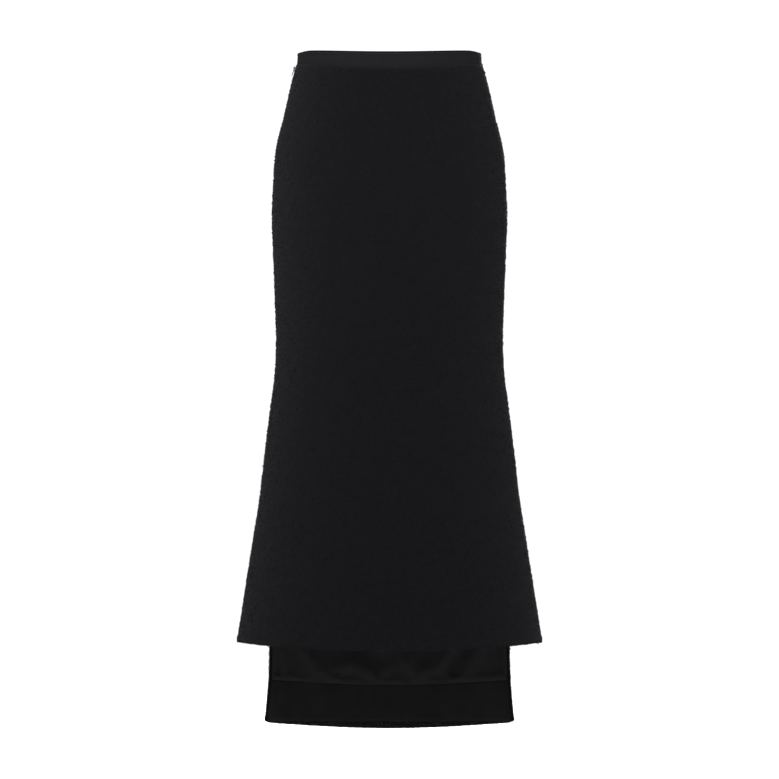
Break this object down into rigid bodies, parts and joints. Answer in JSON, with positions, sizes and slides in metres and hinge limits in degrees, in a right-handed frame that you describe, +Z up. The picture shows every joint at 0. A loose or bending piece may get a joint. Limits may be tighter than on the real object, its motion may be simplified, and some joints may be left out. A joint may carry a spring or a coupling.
{
  "type": "asymmetric skirt",
  "caption": "High-waisted flared midi skirt of black boucle, filled out and hollow, with a ribbon waistband, a side zip and a longer, lined back panel below the level hem.",
  "frame": {"origin": "middle of the waist, at the height of the waist seam at the side seams, where the wearer's waist holds the skirt up", "axes": "+Z up, -Y the way the wearer faces, -X the side with the zip"},
  "size_m": [0.418, 0.297, 0.9464],
  "materials": {
    "boucle": "black boucle tweed, matt, with small looped nubs",
    "ribbon": "black ribbed ribbon with a low sheen",
    "satin": "black satin lining, soft gloss",
    "facing": "plain black facing cloth, matt",
    "zip_tape": "black woven zip tape",
    "black_metal": "black enamelled metal",
    "steel": "nickel-plated steel"
  },
  "bodies": {
    "garment": {"front_panel": "boucle", "side_back_left": "boucle", "side_back_right": "boucle", "centre_back_panel": "boucle", "waistband": "ribbon", "back_lining": "satin", "back_hem_facing": "facing", "zip_tape_front": "zip_tape", "zip_tape_back": "zip_tape", "zip_slider": "black_metal", "waist_hook": "steel", "waist_bar": "steel"},
    "pull_tab": {"zip_pull": "black_metal"}
  },
  "joints": [
    {"name": "pull_tab_hinge", "type": "hinge", "parent": "garment", "child": "pull_tab", "pos_m": [-0.13054, 0, -0.00217], "axis": [0, 1, 0], "range_deg": [0, 150]}
  ]
}
